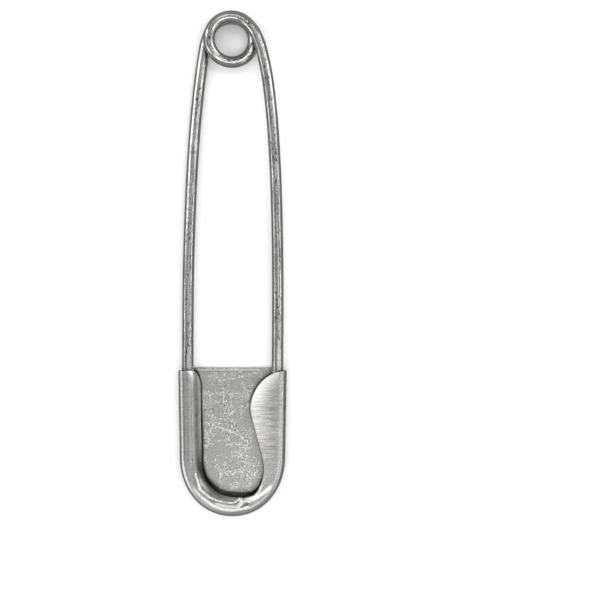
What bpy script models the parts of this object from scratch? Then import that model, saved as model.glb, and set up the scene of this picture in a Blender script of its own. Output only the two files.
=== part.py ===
"""A large one-coil safety pin, lying on its back with its clasp towards -Y.

One spring wire makes the pin arm, the coil and the fixed arm. A folded sheet cap is
crimped on the fixed arm, and its leaf-shaped guard shelters the pin arm's point.
Metres, +Z up. X is the width, Y the length, and z = 0 is the surface that it lies on.
"""

import math

import bmesh
import bpy
from mathutils import Vector
from mathutils.geometry import interpolate_bezier

# Whole pin, and the split between two stretches of the wire
PIN_LENGTH = 0.127
WIRE_SPLIT = 0.00035

# Spring wire
WIRE_DIAMETER = 0.0029
WIRE_RADIUS = WIRE_DIAMETER / 2

# Coil: its centre line, the air between its two layers, and where each arm leaves it
COIL_RADIUS = 0.00558
COIL_LAYER_GAP = 0.0006
COIL_RISE = WIRE_DIAMETER + COIL_LAYER_GAP
COIL_POINTS_PER_TURN = 24
COIL_X = -0.00015
COIL_Y = PIN_LENGTH / 2 - COIL_RADIUS - WIRE_RADIUS
PIN_ARM_LEAVES = math.radians(46)
FIXED_ARM_LEAVES = math.radians(158) + math.tau

# Radius of the winding by its angle: it draws in below the eye and spreads towards the fixed arm
COIL_RADII = (
    (PIN_ARM_LEAVES, COIL_RADIUS),
    (math.radians(225), 0.00568),
    (math.radians(330), 0.00542),
    (math.radians(440), COIL_RADIUS),
    (FIXED_ARM_LEAVES, 0.0061),
)

# Cap: a sheet folded round the wire with a clearance, slightly wider at its mouth, where the plate
# reaches a little further than the fold
SHEET = 0.0006
WIRE_CLEARANCE = 0.0003
CAP_LENGTH = 0.0366
CAP_MOUTH_WIDTH = 0.0273
CAP_SHOULDER_WIDTH = 0.02655
CAP_ROUND_LENGTH = 0.0151
CAP_ROUND_POWER = 2.08
CAP_SIDE_LENGTH = CAP_LENGTH - CAP_ROUND_LENGTH
CAP_MOUTH_Y = CAP_LENGTH - PIN_LENGTH / 2
CAP_SHOULDER_Y = CAP_ROUND_LENGTH - PIN_LENGTH / 2
PLATE_EDGE_LENGTH = 0.0007
CAP_EDGE_BEVEL = 0.00012

# Where the wire lies in the cap: above the plate, and inside the fold's wall
WIRE_LEVEL = SHEET + WIRE_CLEARANCE + WIRE_RADIUS
WIRE_INSET = SHEET + WIRE_CLEARANCE + WIRE_RADIUS

# Fold round the rim, on the middle of the sheet: a bend at the plate, a wall, and a bend into the lip
LOW_BEND_RADIUS = 0.0012
HIGH_BEND_RADIUS = 0.0011
LIP_LEVEL = 2 * WIRE_LEVEL - SHEET / 2

# Lip past the fold, measured from the cap's outside to the lip's free edge
CHANNEL_LIP = 0.0054
CHANNEL_MOUTH_LIP = 0.0034
CHANNEL_CORNER_LENGTH = 0.0045
SEAM_LIP = 0.0036
NECK_LIP = 0.0053
GUARD_LIP = 0.0089
GUARD_CORNER_LENGTH = 0.0101
LEAST_LIP = 0.0026
SEAM_NOTCH_WIDTH = 0.0020

# Height of the lip: crimped over the wire down to the plate, lifting towards the hook's end, and
# rising a little at the guard's free edge
CRIMP_START = 0.0028
CRIMP_CURVE = 2.3
CRIMP_EDGE_LEVEL = SHEET + WIRE_CLEARANCE + SHEET / 2
LIFTED_EDGE_LEVEL = 0.0031
GUARD_FLARE = 0.00025

# Places along the rim, from the left of the mouth round the end to the right of the mouth
SIDE_SHARE = 0.25
LIFT_START_SHARE = 0.18
CHANNEL_END_SHARE = 0.33
SEAM_SHARE = 0.575
NECK_SHARE = 0.72

# Arms: where the bow lies along the way to the cap, and how far out, as a share of the arm in the cap
PIN_ARM_BOW_SHARES = (
    (0.0190, 0.460),
    (0.0428, 0.562),
    (0.0739, 0.646),
    (0.1378, 0.757),
    (0.2072, 0.834),
    (0.3112, 0.908),
    (0.4847, 0.976),
    (0.7285, 1.009),
)
FIXED_ARM_BOW_SHARES = (
    (0.0292, 0.593),
    (0.0517, 0.632),
    (0.1206, 0.711),
    (0.1915, 0.774),
    (0.2973, 0.850),
    (0.4740, 0.930),
    (0.7215, 0.988),
)

# Pin arm's ground point, and how far it reaches into the cap
PIN_REACH = 0.0279
POINT_LENGTH = 0.0125
POINT_SHARES = ((0.0, 1.0), (0.3, 0.88), (0.6, 0.63), (0.85, 0.3), (1.0, 0.1))

# Fixed arm's hook, which follows the cap's round end as far as this
HOOK_END_SHARE = 0.50

# Fineness
ARM_STEPS = 5
HOOK_STEPS = 26
CORNER_STEPS = 8
SEAM_STEPS = 4
BEND_STEPS = 4
LIP_STEPS = 6
WIRE_BEVEL_RESOLUTION = 2
SHARP_ANGLE = math.radians(35)
BEVEL_ANGLE = math.radians(60)


def clear_scene():
    """Removes the objects of the scene that is open."""
    for scene_object in list(bpy.data.objects):
        bpy.data.objects.remove(scene_object, do_unlink=True)


def make_collection(name):
    """A new collection in the scene."""
    collection = bpy.data.collections.new(name)
    bpy.context.scene.collection.children.link(collection)
    return collection


def make_material(name, colour, roughness):
    """A bare metal of one colour."""
    material = bpy.data.materials.new(name)
    material.use_nodes = True
    shader = material.node_tree.nodes["Principled BSDF"]
    shader.inputs["Base Color"].default_value = (*colour, 1.0)
    shader.inputs["Roughness"].default_value = roughness
    shader.inputs["Metallic"].default_value = 1.0
    return material


def evenly(start, end, steps):
    """Values from start to just before end."""
    return [start + (end - start) * step / steps for step in range(steps)]


def eased(start, end, share):
    """A value between two others, which starts and ends gently."""
    share = min(max(share, 0), 1)
    return start + (end - start) * (1 - math.cos(math.pi * share)) / 2


def along_stops(stops, place):
    """A value at a place, which goes gently from one stop to the next."""
    for (start, value), (end, next_value) in zip(stops, stops[1:]):
        if place <= end:
            break
    return eased(value, next_value, (place - start) / (end - start))


# Rim of the cap


def side_share(length):
    """A length along one of the cap's sides, as a share of the whole rim."""
    return SIDE_SHARE * length / CAP_SIDE_LENGTH


def rim(share):
    """A point of the cap's outside, and the outward direction there."""
    half = CAP_SHOULDER_WIDTH / 2
    flare = CAP_MOUTH_WIDTH / 2 - half
    side = -1 if share < 0.5 else 1
    down = min(share, 1 - share) / SIDE_SHARE
    if down < 1:
        point = Vector((side * (half + flare * (1 - down)), CAP_MOUTH_Y - CAP_SIDE_LENGTH * down, 0))
        outward = Vector((side * CAP_SIDE_LENGTH, -flare, 0))
        return point, outward.normalized()
    angle = math.pi * (share - SIDE_SHARE) / (1 - 2 * SIDE_SHARE)
    across = abs(math.cos(angle)) ** (2 / CAP_ROUND_POWER)
    down = abs(math.sin(angle)) ** (2 / CAP_ROUND_POWER)
    point = Vector((side * half * across, CAP_SHOULDER_Y - CAP_ROUND_LENGTH * down, 0))
    slant = CAP_ROUND_POWER - 1
    outward = Vector((side * across**slant / half, -(down**slant) / CAP_ROUND_LENGTH, 0))
    return point, outward.normalized()


def inside_rim(share, inset, level):
    """A point at a distance inside the cap's outside, at a height."""
    point, outward = rim(share)
    return point - outward * inset + Vector((0, 0, level))


# Spring wire


def coil_point(angle):
    """A point of the coil's centre line, by its angle, which grows from the pin arm to the fixed arm.

    Both layers are level where they cross, and the coil goes down from one to the other between.
    """
    upper_ends = FIXED_ARM_LEAVES - math.tau
    share = (math.tau - angle) / (math.tau - upper_ends)
    height = WIRE_RADIUS + eased(0, COIL_RISE, share)
    radius = along_stops(COIL_RADII, angle)
    return Vector((COIL_X + radius * math.cos(angle), COIL_Y + radius * math.sin(angle), height))


def arm_way(angle, sense):
    """The level direction in which an arm leaves the coil."""
    return Vector((math.sin(angle), -math.cos(angle), 0)) * sense


def stretch(path, start, end=math.inf):
    """The part of a path between two lengths along it."""
    part = []
    length = 0
    for before, after in zip(path, path[1:]):
        step = (after - before).length
        for mark in (start, end):
            if length <= mark < length + step:
                part.append(before.lerp(after, (mark - length) / step))
        length += step
        if start < length < end:
            part.append(after)
    return part


def coil_path():
    """The coil's turns, and one wire diameter of each arm's curve."""
    steps = round((FIXED_ARM_LEAVES - PIN_ARM_LEAVES) / math.tau * COIL_POINTS_PER_TURN)
    turns = [coil_point(angle) for angle in evenly(PIN_ARM_LEAVES, FIXED_ARM_LEAVES, steps)]
    pin_end = stretch(pin_arm_curve(), 0, WIRE_DIAMETER)
    fixed_end = stretch(fixed_arm_curve(), 0, WIRE_DIAMETER)
    return [*reversed(pin_end[1:]), *turns, *fixed_end]


def least_gap(path):
    """The least air between two turns of a wound path, measured on points along it."""
    fine = []
    for start, end in zip(path, path[1:]):
        fine += [start.lerp(end, share) for share in evenly(0, 1, ARM_STEPS)]
    apart = COIL_POINTS_PER_TURN * ARM_STEPS // 2
    spans = ((point - other).length for index, point in enumerate(fine) for other in fine[index + apart :])
    return min(spans) - WIRE_DIAMETER


def smooth_path(knots, steps):
    """Points on a smooth curve through the knots; the first and the last knot only steer it."""
    headings = [(after - before).normalized() for before, after in zip(knots, knots[2:])]
    path = [knots[1]]
    for start, end, leaving, arriving in zip(knots[1:], knots[2:], headings, headings[1:]):
        handle = (end - start).length / 3
        curve = interpolate_bezier(start, start + leaving * handle, end - arriving * handle, end, steps + 1)
        path += [Vector(point) for point in curve[1:]]
    return path


def arm_mouth(sense):
    """Where an arm enters the cap."""
    return Vector((sense * (CAP_MOUTH_WIDTH / 2 - WIRE_INSET), CAP_MOUTH_Y, WIRE_LEVEL))


def arm_curve(angle, sense, bow_shares, beyond):
    """An arm's curve, from where it leaves the coil, along its bow, to the cap's mouth."""
    start = coil_point(angle)
    mouth = arm_mouth(sense)
    bow = []
    for along, spread in bow_shares:
        level = WIRE_LEVEL + (start.z - WIRE_LEVEL) * (1 - along) ** 2
        bow.append(Vector((mouth.x * spread, start.y + (mouth.y - start.y) * along, level)))
    steer = bow[0] - arm_way(angle, sense) * COIL_RADIUS
    return smooth_path([steer, start, *bow, mouth, beyond], ARM_STEPS)


def pin_tip():
    """The pin arm's tip, which keeps its distance to the cap's side."""
    narrowing = (CAP_MOUTH_WIDTH - CAP_SHOULDER_WIDTH) / 2 * PIN_REACH / CAP_SIDE_LENGTH
    return arm_mouth(1) - Vector((narrowing, PIN_REACH, 0))


def pin_arm_curve():
    """The pin arm's curve as far as the cap's mouth."""
    return arm_curve(PIN_ARM_LEAVES, 1, PIN_ARM_BOW_SHARES, pin_tip())


def pin_arm_path():
    """The pin arm from the coil to its point, and the wire's radius there as shares."""
    tip = pin_tip()
    ground = tip + (arm_mouth(1) - tip).normalized() * POINT_LENGTH
    path = stretch(pin_arm_curve(), WIRE_DIAMETER + WIRE_SPLIT)
    shares = [1.0] * len(path)
    for along, radius_share in POINT_SHARES:
        path.append(ground.lerp(tip, along))
        shares.append(radius_share)
    return path, shares


def hook_path():
    """The fixed arm in the cap, from the mouth round to the end of its hook."""
    places = [*evenly(0, HOOK_END_SHARE, HOOK_STEPS), HOOK_END_SHARE]
    return [inside_rim(place, WIRE_INSET, WIRE_LEVEL) for place in places]


def fixed_arm_curve():
    """The fixed arm's curve as far as the cap's mouth."""
    return arm_curve(FIXED_ARM_LEAVES, -1, FIXED_ARM_BOW_SHARES, hook_path()[1])


def fixed_arm_path():
    """The fixed arm from the coil to the end of its hook in the cap."""
    return stretch(fixed_arm_curve(), WIRE_DIAMETER + WIRE_SPLIT) + hook_path()[1:]


def make_wire(name, path, material, collection, hinge=None, shares=None):
    """A round wire along a path; it hangs on the hinge, if one is given."""
    base = hinge.location if hinge else Vector()
    curve = bpy.data.curves.new(name, "CURVE")
    curve.dimensions = "3D"
    curve.twist_mode = "Z_UP"
    curve.bevel_depth = WIRE_RADIUS
    curve.bevel_resolution = WIRE_BEVEL_RESOLUTION
    curve.use_fill_caps = True
    spline = curve.splines.new("POLY")
    spline.points.add(len(path) - 1)
    for point, place, share in zip(spline.points, path, shares or [1.0] * len(path)):
        point.co = (*(place - base), 1.0)
        point.radius = share
    curve.materials.append(material)
    wire = bpy.data.objects.new(name, curve)
    wire.parent = hinge
    collection.objects.link(wire)
    return wire


# Cap


def quarter_round(share):
    """How wide a rounded corner is, as a share, at a share of its depth."""
    return math.sqrt(1 - (1 - min(share, 1)) ** 2)


def lip_width(share):
    """The distance from the cap's outside to the lip's free edge."""
    guard_share = 1 - side_share(GUARD_CORNER_LENGTH)
    notch = abs(share - SEAM_SHARE) / side_share(SEAM_NOTCH_WIDTH / 2)
    stops = (
        (0.0, CHANNEL_LIP),
        (CHANNEL_END_SHARE, CHANNEL_LIP),
        (SEAM_SHARE, SEAM_LIP),
        (NECK_SHARE, NECK_LIP),
        (guard_share, GUARD_LIP),
        (1.0, GUARD_LIP),
    )
    lip = along_stops(stops, share)
    if share < SIDE_SHARE:
        corner = quarter_round(share / side_share(CHANNEL_CORNER_LENGTH))
        lip = CHANNEL_MOUTH_LIP + (CHANNEL_LIP - CHANNEL_MOUTH_LIP) * corner
    lip = lip * quarter_round((1 - share) / side_share(GUARD_CORNER_LENGTH))
    lip = min(lip, LEAST_LIP + (lip - LEAST_LIP) * notch)
    return max(lip, LEAST_LIP)


def guard_top(inset):
    """The place along the rim where the guard's rounded top crosses an inset."""
    return 1 - side_share(GUARD_CORNER_LENGTH) * (1 - math.sqrt(1 - (inset / GUARD_LIP) ** 2))


def lip_level(share, inset):
    """Height of the lip's middle at a distance from the cap's outside."""
    if share > SEAM_SHARE:
        beyond = max(inset - LEAST_LIP, 0) / (GUARD_LIP - LEAST_LIP)
        return LIP_LEVEL + GUARD_FLARE * beyond**2
    lifted = (share - LIFT_START_SHARE) / (HOOK_END_SHARE - LIFT_START_SHARE)
    edge_level = eased(CRIMP_EDGE_LEVEL, LIFTED_EDGE_LEVEL, lifted)
    beyond = max(inset - CRIMP_START, 0) / (CHANNEL_LIP - CRIMP_START)
    return LIP_LEVEL - (LIP_LEVEL - edge_level) * beyond**CRIMP_CURVE


def fold_section(share):
    """The sheet's middle from the plate up the wall and over to the lip's edge."""
    wall = SHEET / 2
    lip_start = wall + HIGH_BEND_RADIUS
    turns = [*evenly(0, math.pi / 2, BEND_STEPS), math.pi / 2]
    section = []
    for turn in turns:
        inset = wall + LOW_BEND_RADIUS * (1 - math.sin(turn))
        level = wall + LOW_BEND_RADIUS * (1 - math.cos(turn))
        section.append(inside_rim(share, inset, level))
    for turn in turns:
        inset = wall + HIGH_BEND_RADIUS * (1 - math.cos(turn))
        level = LIP_LEVEL - HIGH_BEND_RADIUS * (1 - math.sin(turn))
        section.append(inside_rim(min(share, guard_top(inset)), inset, level))
    for step in range(1, LIP_STEPS + 1):
        inset = lip_start + (lip_width(share) - lip_start) * step / LIP_STEPS
        section.append(inside_rim(min(share, guard_top(inset)), inset, lip_level(share, inset)))
    return section


def rim_places():
    """Places along the rim, closer together at the lip's rounded corners and its seam."""
    notch = side_share(SEAM_NOTCH_WIDTH / 2)
    channel = side_share(CHANNEL_CORNER_LENGTH)
    guard = side_share(GUARD_CORNER_LENGTH)
    top = math.asin(LEAST_LIP / GUARD_LIP)
    return [
        *(channel * (1 - math.cos(turn)) for turn in evenly(0, math.pi / 2, CORNER_STEPS)),
        *evenly(channel, SIDE_SHARE, CORNER_STEPS),
        *evenly(SIDE_SHARE, SEAM_SHARE - notch, 2 * CORNER_STEPS),
        *evenly(SEAM_SHARE - notch, SEAM_SHARE + notch, SEAM_STEPS),
        *evenly(SEAM_SHARE + notch, NECK_SHARE, CORNER_STEPS),
        *evenly(NECK_SHARE, 1 - guard, CORNER_STEPS),
        *(1 - guard * (1 - math.cos(turn)) for turn in evenly(math.pi / 2, top, CORNER_STEPS)),
        1.0,
    ]


def make_cap(material, collection):
    """The plate, whose rim is folded up and over to make the channel and the guard."""
    sheet = bmesh.new()
    sections = [fold_section(place) for place in rim_places()]
    rows = [[sheet.verts.new(point) for point in row] for row in zip(*sections)]
    mouth_ends = (rows[0][-1], rows[0][0])
    edge = [sheet.verts.new(end.co + Vector((0, PLATE_EDGE_LENGTH, 0))) for end in mouth_ends]
    sheet.faces.new([*rows[0], *edge])
    for row, next_row in zip(rows, rows[1:]):
        for corners in zip(row, row[1:], next_row[1:], next_row):
            sheet.faces.new(corners[::-1])
    mesh = bpy.data.meshes.new("cap")
    sheet.to_mesh(mesh)
    sheet.free()
    mesh.shade_smooth()
    mesh.set_sharp_from_angle(angle=SHARP_ANGLE)
    mesh.materials.append(material)
    cap = bpy.data.objects.new("cap", mesh)
    collection.objects.link(cap)
    solid = cap.modifiers.new("sheet", "SOLIDIFY")
    solid.thickness = SHEET
    solid.offset = 0
    solid.use_even_offset = True
    edges = cap.modifiers.new("edges", "BEVEL")
    edges.width = CAP_EDGE_BEVEL
    edges.segments = 1
    edges.limit_method = "ANGLE"
    edges.angle_limit = BEVEL_ANGLE
    return cap


def make_safety_pin():
    """All the parts, with an empty on the coil's axis that carries what turns there."""
    clear_scene()
    collection = make_collection("safety_pin")
    wire_metal = make_material("spring_wire", (0.56, 0.56, 0.55), 0.28)
    cap_metal = make_material("cap_sheet", (0.60, 0.60, 0.59), 0.36)
    hinge = bpy.data.objects.new("coil_axis", None)
    hinge.location = (COIL_X, COIL_Y, 0)
    collection.objects.link(hinge)
    coil = coil_path()
    pin_arm, pin_shares = pin_arm_path()
    make_cap(cap_metal, collection)
    make_wire("fixed_arm", fixed_arm_path(), wire_metal, collection)
    make_wire("spring_coil", coil, wire_metal, collection, hinge)
    make_wire("pin_arm", pin_arm, wire_metal, collection, hinge, pin_shares)
    print(f"least gap of the coil to itself: {1000 * least_gap(coil):.2f} mm")


make_safety_pin()
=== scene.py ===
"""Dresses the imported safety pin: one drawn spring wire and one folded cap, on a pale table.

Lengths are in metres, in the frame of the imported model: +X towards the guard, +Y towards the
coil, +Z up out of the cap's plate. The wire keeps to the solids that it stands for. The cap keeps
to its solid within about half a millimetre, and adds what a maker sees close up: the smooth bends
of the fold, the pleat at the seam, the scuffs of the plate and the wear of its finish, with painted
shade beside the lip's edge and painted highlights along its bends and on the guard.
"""

import math

import bmesh
import bpy
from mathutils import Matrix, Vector
from mathutils.geometry import delaunay_2d_cdt, interpolate_bezier
from mathutils.kdtree import KDTree


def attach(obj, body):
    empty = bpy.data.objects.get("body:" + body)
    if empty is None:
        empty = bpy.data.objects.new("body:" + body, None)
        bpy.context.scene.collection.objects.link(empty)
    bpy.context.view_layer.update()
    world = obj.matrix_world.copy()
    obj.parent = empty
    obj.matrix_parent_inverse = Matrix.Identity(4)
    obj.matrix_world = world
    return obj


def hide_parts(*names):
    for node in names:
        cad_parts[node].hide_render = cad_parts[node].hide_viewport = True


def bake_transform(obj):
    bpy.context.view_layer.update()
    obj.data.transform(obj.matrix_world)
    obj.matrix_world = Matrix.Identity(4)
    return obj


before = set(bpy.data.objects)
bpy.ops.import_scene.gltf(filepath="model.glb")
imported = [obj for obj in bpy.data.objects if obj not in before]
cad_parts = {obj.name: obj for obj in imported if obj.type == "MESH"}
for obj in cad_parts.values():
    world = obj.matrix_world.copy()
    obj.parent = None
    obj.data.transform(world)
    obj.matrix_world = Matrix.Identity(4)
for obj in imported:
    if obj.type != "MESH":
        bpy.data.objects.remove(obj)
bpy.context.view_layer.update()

MM = 0.001

# Spring wire and its coil, as in the part
PIN_LENGTH = 127 * MM
WIRE_DIAMETER = 2.9 * MM
WIRE_RADIUS = WIRE_DIAMETER / 2
COIL_RADIUS = 5.58 * MM
COIL_LAYER_GAP = 0.6 * MM
COIL_RISE = WIRE_DIAMETER + COIL_LAYER_GAP
COIL_X = -0.15 * MM
COIL_Y = PIN_LENGTH / 2 - COIL_RADIUS - WIRE_RADIUS
PIN_ARM_LEAVES = math.radians(46)
FIXED_ARM_LEAVES = math.radians(158) + math.tau
COIL_RADII = (
    (PIN_ARM_LEAVES, COIL_RADIUS),
    (math.radians(225), 5.68 * MM),
    (math.radians(330), 5.42 * MM),
    (math.radians(440), COIL_RADIUS),
    (FIXED_ARM_LEAVES, 6.1 * MM),
)

# Bows of the arms: shares of the way from the coil to the cap's mouth, and of the mouth's half
# width
PIN_ARM_BOW_SHARES = (
    (0.0190, 0.460),
    (0.0428, 0.562),
    (0.0739, 0.646),
    (0.1378, 0.757),
    (0.2072, 0.834),
    (0.3112, 0.908),
    (0.4847, 0.976),
    (0.7285, 1.009),
)
FIXED_ARM_BOW_SHARES = (
    (0.0292, 0.593),
    (0.0517, 0.632),
    (0.1206, 0.711),
    (0.1915, 0.774),
    (0.2973, 0.850),
    (0.4740, 0.930),
    (0.7215, 0.988),
)

# The pin arm's reach into the cap, its ground point as shares of length and radius, and the
# hook's end as a share of the rim
PIN_REACH = 27.9 * MM
POINT_LENGTH = 12.5 * MM
POINT_SHARES = (
    (0.0, 1.0),
    (0.15, 0.965),
    (0.3, 0.88),
    (0.45, 0.77),
    (0.6, 0.63),
    (0.75, 0.45),
    (0.88, 0.27),
    (1.0, 0.08),
)
HOOK_END_SHARE = 0.50

# Cap, as in the part; the wire lies a sheet and a clearance above the table
SHEET = 0.6 * MM
WIRE_STAND = 0.9 * MM
CAP_LENGTH = 36.6 * MM
CAP_MOUTH_WIDTH = 27.3 * MM
CAP_SHOULDER_WIDTH = 26.55 * MM
CAP_ROUND_LENGTH = 15.1 * MM
CAP_ROUND_POWER = 2.08
CAP_SIDE_LENGTH = CAP_LENGTH - CAP_ROUND_LENGTH
CAP_MOUTH_Y = CAP_LENGTH - PIN_LENGTH / 2
CAP_SHOULDER_Y = CAP_ROUND_LENGTH - PIN_LENGTH / 2
PLATE_EDGE_LENGTH = 0.7 * MM
WIRE_LEVEL = WIRE_RADIUS + WIRE_STAND
LIP_LEVEL = 2 * WIRE_LEVEL - SHEET / 2

# Lip: its width by the place along the rim, which is a share from 0 at the channel's mouth, round
# the cap's end, to 1 at the guard's mouth
CHANNEL_MOUTH_LIP = 3.4 * MM
CHANNEL_CORNER_LENGTH = 4.5 * MM
GUARD_LIP = 9.0 * MM
GUARD_CORNER_LENGTH = 10.1 * MM
LEAST_LIP = 2.6 * MM
SIDE_SHARE = 0.25
SEAM_START_SHARE = 0.50
SEAM_END_SHARE = 0.60
NECK_SHARE = 0.72
LIP_WIDTHS = (
    (0.0, 5.25 * MM),
    (0.11, 5.15 * MM),
    (0.25, 5.15 * MM),
    (0.33, 4.9 * MM),
    (0.41, 4.9 * MM),
    (0.49, 4.76 * MM),
    (0.525, 4.5 * MM),
    (0.567, 4.08 * MM),
    (0.593, 3.68 * MM),
    (0.63, 4.0 * MM),
    (0.665, 4.45 * MM),
    (NECK_SHARE, 5.2 * MM),
    (0.749, 5.75 * MM),
    (0.853, 8.3 * MM),
    (0.8826, 8.85 * MM),
    (0.92, GUARD_LIP),
    (1.0, GUARD_LIP),
)

# Fold: a bend at the table, a wall, and a bend into the lip, which is wider on the guard's side
LOW_BEND = 1.2 * MM
HIGH_BEND = 1.3 * MM
GUARD_BEND = 1.6 * MM
GUARD_BEND_START = 0.6
GUARD_BEND_RUN = 0.15

# Height of the lip: crimped down to the plate, lifted towards the seam, and flared at the guard's
# edge
CRIMP_START = 2.4 * MM
CRIMP_REACH = 3.0 * MM
CRIMP_CURVE = 2.0
CRIMP_EDGE_LEVEL = 1.2 * MM
LIFT_START_SHARE = 0.18
LIFTED_EDGE_LEVEL = 3.1 * MM
CRIMP_END_SHARE = 0.52
CRIMP_END_RUN = 0.04
GUARD_FLARE = 0.4 * MM

# Painted shade on the plate beside the lip's free edge: reach, depth and how far the edge covers
# the plate, by the place along the rim, and the rows of points that carry it, in millimetres from
# the edge
SHADE_REACH = (
    (0.0, 0.45 * MM),
    (0.125, 0.60 * MM),
    (0.22, 0.85 * MM),
    (0.33, 1.15 * MM),
    (0.37, 1.45 * MM),
    (0.41, 1.2 * MM),
    (0.48, 0.4 * MM),
    (0.56, 0.3 * MM),
    (0.66, 0.35 * MM),
    (0.75, 0.55 * MM),
    (1.0, 0.9 * MM),
)
SHADE_DEPTH = (
    (0.0, 1.0),
    (0.33, 1.0),
    (0.47, 0.8),
    (0.54, 0.8),
    (0.59, 0.95),
    (0.66, 0.95),
    (0.75, 0.75),
    (0.85, 0.5),
    (0.93, 0.8),
    (1.0, 0.7),
)
SHADE_ROWS = (-0.3, 0.0, 0.15, 0.3, 0.45, 0.6, 0.8, 1.0, 1.25, 1.5, 1.8)
EDGE_COVER = (
    (0.0, 0.27 * MM),
    (0.2, 0.35 * MM),
    (0.33, 0.3 * MM),
    (0.41, 0.6 * MM),
    (0.5, 1.0 * MM),
    (0.56, 0.85 * MM),
    (0.593, 0.6 * MM),
    (0.63, 0.2 * MM),
    (0.7, 0.0),
    (1.0, 0.0),
)

# Painted shade and painted highlight of the lip, by the distance from its free edge and the place
# along the rim
RIDGE_SHADE_GAP = 2.3 * MM
RIDGE_SHADE_SPREAD = 0.7 * MM
RIDGE_SHADE_DEPTH = ((0.0, 0.3), (0.22, 0.35), (0.3, 0.1), (0.42, 0.0), (1.0, 0.0))
SLOPE_START = 1.6 * MM
SLOPE_REACH = 1.3 * MM
SLOPE_DEPTH = (
    (0.0, 0.0),
    (0.22, 0.0),
    (0.3, 0.45),
    (0.38, 0.35),
    (0.43, 0.1),
    (0.48, 0.0),
    (1.0, 0.0),
)
SLOPE_SHINE_START = 0.9 * MM
SLOPE_SHINE_REACH = 1.1 * MM
SLOPE_SHINE = ((0.0, 0.9), (0.125, 0.9), (0.22, 0.8), (0.3, 0.3), (0.42, 0.0), (1.0, 0.0))
EDGE_REACH = 1.2 * MM
EDGE_DEPTH = (
    (0.0, 0.25),
    (0.125, 0.25),
    (0.22, 0.45),
    (0.3, 0.6),
    (0.42, 0.45),
    (0.48, 0.1),
    (0.5, 0.0),
    (1.0, 0.0),
)

# Painted highlight line and painted shade line along the high bend
BEND_HIGHLIGHT = (
    (0.0, 0.5),
    (0.22, 0.55),
    (0.3, 1.0),
    (0.4, 1.0),
    (0.5, 0.6),
    (0.7, 0.25),
    (1.0, 0.12),
)
BEND_SHADE_DEPTH = ((0.0, 0.25), (0.22, 0.25), (0.3, 0.0), (0.5, 0.0), (0.7, 0.2), (1.0, 0.2))
BRIGHT_TURN = math.radians(57)
SHADE_LINE_TURN = math.radians(82)
BRIGHT_SPREAD = math.radians(10)

# Painted highlight of the guard towards its free edge, and of the channel at its mouth
SHINE_REACH = 5.5 * MM
GUARD_SHINE = ((0.0, 0.0), (0.76, 0.0), (0.86, 0.35), (0.95, 0.95), (1.0, 1.0))
MOUTH_SHINE = 0.3
MOUTH_SHINE_LENGTH = 2.6 * MM

# Fineness
ARM_STEPS = 16
HOOK_STEPS = 90
COIL_STEPS = 150
WIRE_SIDES = 28
BEND_STEPS = 9
LIP_STEPS = 26
EDGE_STEPS = 1600
EDGE_STRIDE = 8
RIM_STEPS = {
    "corner": 18,
    "channel": 16,
    "round": 40,
    "seam": 50,
    "neck": 20,
    "guard": 30,
    "top": 28,
}
PLATE_MARGIN = 0.15 * MM
WELD_DISTANCE = 1e-7
SMOOTH_ANGLE = math.radians(40)
ROUNDED_EDGE = 0.18 * MM
ROUNDED_EDGE_STEPS = 3
ROUNDED_EDGE_ANGLE = math.radians(60)
WIRE_MAP_LENGTH = 10 * MM

# Colours of the finishes
WIRE_DARK = (0.28, 0.277, 0.27, 1)
WIRE_LIGHT = (0.64, 0.635, 0.62, 1)
NICK_BRIGHT = (0.85, 0.84, 0.82, 1)
PIT_DARK = (0.04, 0.04, 0.04, 1)
PLATE_DARK = (0.20, 0.198, 0.194, 1)
PLATE_LIGHT = (0.64, 0.635, 0.625, 1)
LIP_DARK = (0.28, 0.277, 0.27, 1)
LIP_LIGHT = (0.46, 0.455, 0.445, 1)
GUARD_DARK = (0.22, 0.217, 0.21, 1)
GUARD_LIGHT = (0.60, 0.595, 0.58, 1)
# Bright of wear and of the painted highlights, black of the painted shade, and black of the shade
# painted from ambient occlusion
WEAR_AND_HIGHLIGHT_BRIGHT = (0.97, 0.965, 0.95, 1)
SHADE_BLACK = (0.004, 0.004, 0.004, 1)
OCCLUSION_SHADE_BLACK = (0.012, 0.012, 0.013, 1)

# Finishes: roughness from their low to their high places, and depth of their fine relief
WIRE_ROUGHNESS = (0.13, 0.20)
WIRE_RELIEF = 0.02 * MM
NICK_DEPTH = 0.8
SHEET_ROUGHNESS = (0.36, 0.27)
SHEET_RELIEF = 0.03 * MM

# Flecks: the scale of the broad noise that crowds them, the noise that thins or crowds them and what
# it adds, the level that leaves few or many, and how soft their edge is
CROWD_SCALE = 0.09
CROWD_NOISE = (0.4, 0.6)
CROWD_LIFT = (-0.10, 0.06)
CROWDING_NOISE = (0.42, 0.58)
FLECK_LEVEL = (0.8, 0.5)
FLECK_SOFTNESS = 0.14

# Marks on the plate and on the lip, the strength of the painted highlight, and the depth of the
# painted dark line at the mouth
MARK_STRENGTH = (0.9, 0.35)
HIGHLIGHT_STRENGTH = 0.82
MOUTH_LINE_DEPTH = 0.4

# Pits of the wire: the top's place on the way round it, where they fade beside it, and how dark
# they are at the top and beyond
WIRE_TOP = 0.25
PIT_REACH = (0.05, 0.1)
PIT_DEPTH = (0.85, 0.2)

# Where the finish of the cap changes, in millimetres: up from the plate to the lip, across the
# guard from its left to its right, and up from its foot
LIP_RISE = (0.8, 1.4)
GUARD_LEFT = (3.0, 6.0)
GUARD_RIGHT = (9.5, 11.5)
GUARD_FOOT = (-51.0, -46.0)

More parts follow.
